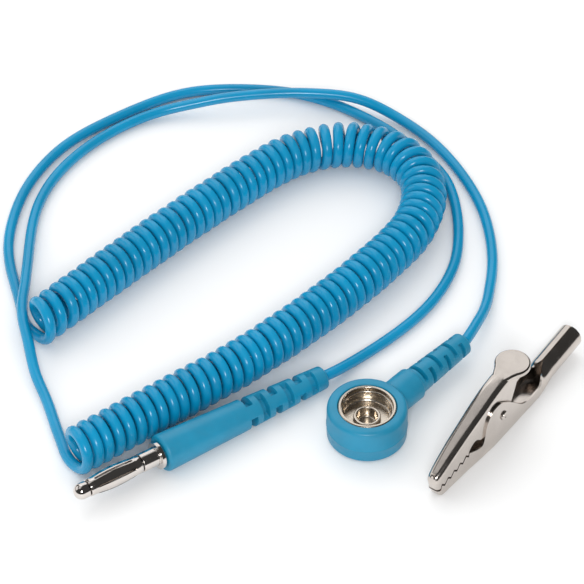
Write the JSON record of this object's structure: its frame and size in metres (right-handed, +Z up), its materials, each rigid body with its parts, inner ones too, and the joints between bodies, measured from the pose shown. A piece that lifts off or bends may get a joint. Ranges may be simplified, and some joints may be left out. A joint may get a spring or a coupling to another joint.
{
  "type": "coiled grounding cord set",
  "caption": "Coiled static-grounding cord with a press-stud socket at one end and a banana plug at the other, and a loose crocodile clip that pushes onto the plug.",
  "frame": {"origin": "centre of the press-stud socket's flat underside, where it stands on the surface", "axes": "+Z up, away from the surface the set lies on; +Y along the crocodile clip from its nose to its barrel; +X from the socket towards the clip"},
  "size_m": [0.1329, 0.139, 0.0154],
  "materials": {
    "jacket": "glossy light-blue vinyl",
    "moulding": "satin light-blue moulded vinyl",
    "nickel": "bright nickel plate",
    "spring_steel": "plated wire and rivet steel",
    "brass": "tinned brass",
    "copper": "tinned copper strands",
    "lacquer": "resistor lacquer"
  },
  "bodies": {
    "cord_set": {"plug_body": "moulding", "banana_pin": "nickel", "resistor_body": "lacquer", "resistor_lead_front": "copper", "resistor_lead_rear": "copper", "conductor_crimp": "brass", "plug_conductor": "copper", "plug_lead": "jacket", "coil": "jacket", "snap_lead": "jacket", "snap_body": "moulding", "snap_socket_cup": "nickel", "snap_spring_ring": "spring_steel", "snap_eyelet": "nickel", "snap_solder_tag": "brass", "snap_conductor": "copper"},
    "spring_cage": {"banana_spring_cage": "nickel"},
    "clip": {"clip_lower_jaw": "nickel", "clip_pivot_pin": "spring_steel", "clip_spring": "spring_steel"},
    "clip_upper": {"clip_upper_jaw": "nickel"}
  },
  "joints": [
    {"name": "cage_spin", "type": "hinge", "parent": "cord_set", "child": "spring_cage", "pos_m": [-0.02917, -0.03261, 0.0042], "axis": [-0.3319, -0.9425, 0.0384], "continuous": true},
    {"name": "clip_lift", "type": "slide", "parent": "cord_set", "child": "clip", "axis": [0, 0, 1], "range_m": [0, 0.06]},
    {"name": "jaw_pivot", "type": "hinge", "parent": "clip", "child": "clip_upper", "pos_m": [0.02116, 0.01518, 0.0071], "axis": [-1, 0, 0], "range_deg": [0, 30], "stiffness_Nm_per_rad": 0.02, "springref_deg": -85.94, "deforming": ["clip_spring"]}
  ]
}
